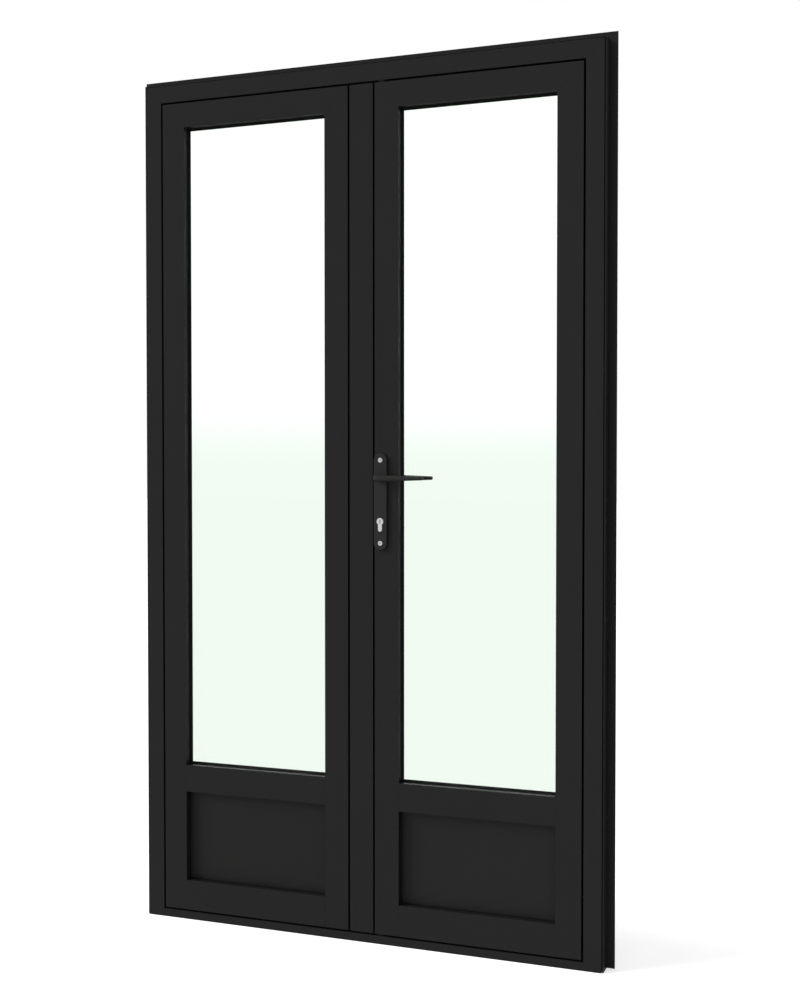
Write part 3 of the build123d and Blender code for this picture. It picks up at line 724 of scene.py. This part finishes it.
@dataclass
class CentrePost:
    """Post on the left leaf with its caps, seal, strike plate and slide bolts."""

    edge: float = 0.25 * MM
    insert_edge: float = 0.3 * MM
    plate_edge: float = 0.2 * MM
    screws: Screws = PLATE_SCREWS
    screw_inset: float = 12.0 * MM
    seal_reach: float = 4.9 * MM
    seal_overrun: float = 4.4 * MM
    bulb_steps: int = 13

    def build(self) -> None:
        """Dresses the post's nodes and builds its seal and strike screws."""
        dress("centre_post", PROFILE_COAT, self.edge)
        dress("post_caps", CAP_PLASTIC, self.insert_edge)
        for node in ("strike_plate", "slide_guides"):
            dress(node, BOLT_STEEL, self.plate_edge)
        for node in ("upper_slide_bolt", "lower_slide_bolt"):
            dress(node, BOLT_STEEL, self.insert_edge)
        self._seal()
        low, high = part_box("strike_plate")
        y = (low.y + high.y) / 2
        spots = np.array([(high.x, y, low.z + self.screw_inset), (high.x, y, high.z - self.screw_inset)])
        self.screws.build("strike_screws", spots, Vector((1.0, 0.0, 0.0)), "left_leaf")

    def _seal(self) -> None:
        """Builds the post's edge seal as a straight bulb.

        The section is a flat foot and a half ellipse, carried along the post's height and a little past
        both of its ends, over the gaps to the head and the threshold.
        """
        low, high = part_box("post_seal")
        turn = np.linspace(-math.pi / 2, math.pi / 2, self.bulb_steps)
        x = low.x + self.seal_reach * np.cos(turn)
        y = (low.y + high.y) / 2 + (high.y - low.y) / 2 * np.sin(turn)
        ends = np.repeat((low.z - self.seal_overrun, high.z + self.seal_overrun), 2)
        section = np.stack((x, y), axis=1)
        middle = np.array([low.x, (low.y + high.y) / 2])
        scale = np.array([0.0, 1.0, 1.0, 0.0])[:, None, None]
        flat = middle + (section[None] - middle) * scale
        heights = np.broadcast_to(ends[:, None, None], (len(ends), len(section), 1))
        points = np.concatenate((flat, heights), axis=2).reshape(-1, 3)
        faces = grid_faces(len(ends), len(section), False, True)
        make_piece("post_edge_seal", points, faces, SEAL_RUBBER, "left_leaf", ["post_seal"])


@dataclass
class HandleSet:
    """Plates, levers, screws, key cylinder and lock."""

    edge: float = 0.3 * MM
    neck: float = 8.0 * MM
    tip: float = 4.4 * MM
    tip_round: float = 1.2 * MM
    bend: float = 8.6 * MM
    around: int = 40
    bend_steps: int = 14
    run_steps: int = 24
    tip_steps: int = 6
    screws: Screws = PLATE_SCREWS
    screw_inset: float = 10.0 * MM

    def build(self) -> None:
        """Dresses the handle's and lock's nodes and builds both levers."""
        for plate in ("outer_plate", "inner_plate"):
            dress(plate, HANDLE_COAT)
        for node in ("plate_screws", "key_cylinder", "key_plug"):
            dress(node, NICKEL)
        for node in ("spindle", "lock_hub", "lock_case"):
            dress(node, BOLT_STEEL)
        dress("lock_faceplate", BOLT_STEEL, self.edge)
        dress("lock_bolt", NICKEL, self.edge)
        self._lever("outer", -1)
        self._lever("inner", 1)
        low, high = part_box("lock_faceplate")
        y = (low.y + high.y) / 2
        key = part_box("key_cylinder")
        heights = (low.z + self.screw_inset, high.z - self.screw_inset, (key[0].z + key[1].z) / 2)
        spots = np.array([(low.x, y, z) for z in heights])
        self.screws.build("faceplate_screws", spots, Vector((-1.0, 0.0, 0.0)), "right_leaf")

    def _lever(self, which: str, outward: int) -> None:
        """Builds one lever as circles carried along its centreline.

        The centreline leaves the plate straight, turns through a quarter circle and runs level to the tip.
        The radius is the neck's to the end of the bend, then falls evenly to the tip's, and closes over a
        small round at the end.

        Args:
            which: outer or inner.
            outward: direction along depth away from the leaf.
        """
        low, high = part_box(f"{which}_lever")
        z = (low.z + high.z) / 2
        x = low.x + self.neck
        seat = high.y if outward < 0 else low.y
        line = (low.y if outward < 0 else high.y) - outward * self.neck
        end = high.x
        turn = np.linspace(0.0, math.pi / 2, self.bend_steps)
        run = np.linspace(x + self.bend, end - self.tip_round, self.run_steps)[1:]
        close = np.linspace(0.0, math.pi / 2, self.tip_steps)[1:]
        share = (run - run[0]) / (run[-1] - run[0])
        level = np.ones(len(run) + len(close) + 1)
        path_x = np.concatenate((
            [x, x], x + self.bend * (1 - np.cos(turn)), run, run[-1] + self.tip_round * np.sin(close), [end]))
        path_y = np.concatenate(([seat, seat], line - outward * self.bend * (1 - np.sin(turn)), line * level))
        along_x = np.concatenate(([0.0, 0.0], np.sin(turn), level))
        along_y = np.concatenate(([1.0, 1.0], np.cos(turn), 0.0 * level)) * outward
        radius = np.concatenate((
            [0.0, self.neck], np.full(len(turn), self.neck), self.neck + (self.tip - self.neck) * share,
            self.tip - self.tip_round * (1 - np.cos(close)), [0.0]))
        angle = np.arange(self.around) * 2 * math.pi / self.around
        across = np.cos(angle)[None, :] * radius[:, None]
        points = np.stack((
            path_x[:, None] - along_y[:, None] * across,
            path_y[:, None] + along_x[:, None] * across,
            z + np.sin(angle)[None, :] * radius[:, None],
        ), axis=2).reshape(-1, 3)
        faces = grid_faces(len(path_x), self.around, False, True)
        node = f"{which}_lever"
        make_piece(f"{node}_bar", points, faces, HANDLE_COAT, "lever", [node])


@dataclass(frozen=True)
class Rays:
    """What a shader knows of the ray that meets it, each 0 or 1.

    A camera ray comes straight from the camera, and a shown one last met glass or a reflection. Over its
    whole way, a mirrored ray was reflected and a glazed one went through glass. A direct one comes out of
    glass and was never reflected.
    """

    camera: Socket
    shown: Socket
    mirrored: Socket
    glazed: Socket
    direct: Socket

    @classmethod
    def on(cls, board: Board) -> "Rays":
        """Adds the tests to a tree.

        Args:
            board: the tree to build in.

        Returns:
            The results' sockets.
        """
        path = board.add("ShaderNodeLightPath").outputs
        mirrored = board.maths("GREATER_THAN", path["Glossy Depth"], NO_BOUNCE)
        return cls(
            camera=path["Is Camera Ray"],
            shown=board.maths("MAXIMUM", path["Is Transmission Ray"], path["Is Glossy Ray"]),
            mirrored=mirrored,
            glazed=board.maths("GREATER_THAN", path["Transmission Depth"], NO_BOUNCE),
            direct=board.maths("GREATER_THAN", path["Is Transmission Ray"], mirrored),
        )


@dataclass
class Studio:
    """Camera, floor, world and light.

    Places and reaches are in metres, the sensor in millimetres, and the camera's angles and the sun's
    softness in degrees. Levels are shares of white, and those whose names end in mirror are what
    reflections see. Blur, span and rise are parts of a direction of length 1, or metres on the floor.
    """

    camera_place: Triple = (1.2572, -3.1066, 1.1720)
    camera_turn: float = 20.561
    camera_dip: float = 1.409
    focal_share: float = 1.36014
    sensor: float = 36.0
    view_reach: float = 200.0
    floor_reach: float = 40.0
    floor_tone: Colour = (0.8, 0.8, 0.8)
    ambient: float = 0.45
    sun_strength: float = 3.2
    sun_softness: float = 25.0
    sun_way: Triple = (0.78, 0.42, -0.46)
    front_mirror: float = 0.31
    left_mirror: float = 1.5
    right_mirror: float = 0.40
    floor_mirror: float = 0.26
    floor_glass_mirror: float = 0.42
    mirror_blur: float = 0.3
    mirror_span: tuple[float, float] = (0.55, 0.10)
    horizon_level: float = 0.990
    sky_level: float = 1.15
    horizon_rise: float = 0.047
    floor_level: float = 0.979
    floor_fill: float = 0.60

    def build(self) -> None:
        """Builds the whole studio."""
        self._camera()
        self._world()
        self._floor()
        self._sun()
        bpy.context.scene.view_settings.view_transform = "Standard"

    def _camera(self) -> None:
        """Sets the camera where the photograph was taken from."""
        lens = bpy.data.cameras.new("camera")
        lens.sensor_width = self.sensor
        lens.lens = self.focal_share * self.sensor
        lens.clip_end = self.view_reach
        camera = put("camera", lens)
        camera.location = self.camera_place
        camera.rotation_euler = (math.radians(90.0 - self.camera_dip), 0.0, math.radians(self.camera_turn))
        bpy.context.scene.camera = camera

    def _mirrored(self, board: Board, depth: Socket, level: Socket | float) -> Socket:
        """Level that reflections see: the front one before the doors, and another behind them.

        Args:
            board: the tree to build in.
            depth: direction or place along the doors' depth.
            level: level behind the doors.

        Returns:
            The level's socket.
        """
        behind = board.step(depth, -self.mirror_blur, self.mirror_blur)
        change = board.maths("MULTIPLY", behind, board.maths("SUBTRACT", level, self.front_mirror))
        return board.maths("ADD", change, self.front_mirror)

    def _world(self) -> None:
        """White surroundings over a plain ambient light.

        Seen through glass they are a little brighter above the horizon. Reflections see them dimmer, but
        through the glass they see them brighter behind the doors on the left.
        """
        world = bpy.data.worlds.new("studio")
        bpy.context.scene.world = world
        board = Board.of(world)
        rays = Rays.on(board)
        way = board.axes("Generated").outputs
        rise = board.step(way["Z"], 0.0, self.horizon_rise)
        sky = board.spread(rise, self.horizon_level, self.sky_level)
        leftward = board.maths("MULTIPLY", board.step(way["X"], *self.mirror_span), rays.glazed)
        side = board.spread(leftward, self.right_mirror, self.left_mirror)
        through = board.maths("MULTIPLY", rays.direct, sky)
        mirrored = board.maths("MULTIPLY", rays.mirrored, self._mirrored(board, way["Y"], side))
        level = board.maths("MAXIMUM", board.maths("MAXIMUM", through, mirrored), rays.camera)
        unseen = board.maths("SUBTRACT", 1.0, board.maths("MAXIMUM", rays.shown, rays.camera))
        light = board.maths("MULTIPLY", unseen, self.ambient)
        backdrop = board.add("ShaderNodeBackground")
        backdrop.inputs["Color"].default_value = (1.0, 1.0, 1.0, 1.0)
        board.join(board.maths("MAXIMUM", level, light), backdrop.inputs["Strength"])
        output = board.add("ShaderNodeOutputWorld")
        board.join(backdrop.outputs[0], output.inputs["Surface"])

    def _floor(self) -> None:
        """Pale floor that shows white but keeps the shadow; glass and reflections see an even level."""
        reach = self.floor_reach
        mesh = bpy.data.meshes.new("floor")
        corners = [(-reach, -reach, 0), (reach, -reach, 0), (reach, reach, 0), (-reach, reach, 0)]
        mesh.from_pydata(corners, [], [(0, 1, 2, 3)])
        floor = put("floor", mesh)
        material = bpy.data.materials.new("pale_floor")
        board = Board.of(material)
        rays = Rays.on(board)
        place = board.axes("Object").outputs
        behind = board.spread(rays.glazed, self.floor_mirror, self.floor_glass_mirror)
        mirrored = board.maths("MULTIPLY", rays.mirrored, self._mirrored(board, place["Y"], behind))
        level = board.maths("MAXIMUM", rays.direct, mirrored)
        even = board.add("ShaderNodeEmission")
        board.join(board.maths("MULTIPLY", level, self.floor_level), even.inputs["Strength"])
        matt = board.add("ShaderNodeBsdfDiffuse")
        matt.inputs["Color"].default_value = (*self.floor_tone, 1.0)
        fill = board.add("ShaderNodeEmission")
        board.join(board.maths("MULTIPLY", rays.camera, self.floor_fill), fill.inputs["Strength"])
        both = board.add("ShaderNodeAddShader")
        board.join(matt.outputs[0], both.inputs[0])
        board.join(fill.outputs[0], both.inputs[1])
        mix = board.add("ShaderNodeMixShader")
        board.join(rays.shown, mix.inputs[0])
        board.join(both.outputs[0], mix.inputs[1])
        board.join(even.outputs[0], mix.inputs[2])
        output = board.add("ShaderNodeOutputMaterial")
        board.join(mix.outputs[0], output.inputs["Surface"])
        mesh.materials.append(material)

    def _sun(self) -> None:
        """Adds a broad soft light from the upper left that draws faint shadows and no glare."""
        light = bpy.data.lights.new("soft_sun", "SUN")
        light.energy = self.sun_strength
        light.angle = math.radians(self.sun_softness)
        lamp = put("soft_sun", light)
        lamp.rotation_euler = Vector(self.sun_way).to_track_quat("-Z", "Y").to_euler()
        lamp.visible_glossy = False


def main() -> None:
    """Dresses the doors, builds the studio and logs each dressed node and new piece."""
    logging.basicConfig(level=logging.INFO)
    FrameSet().build()
    for side in Side:
        Leaf(side).build()
        Hinges(side).build()
    CentrePost().build()
    HandleSet().build()
    Studio().build()


if __name__ == "__main__":
    main()
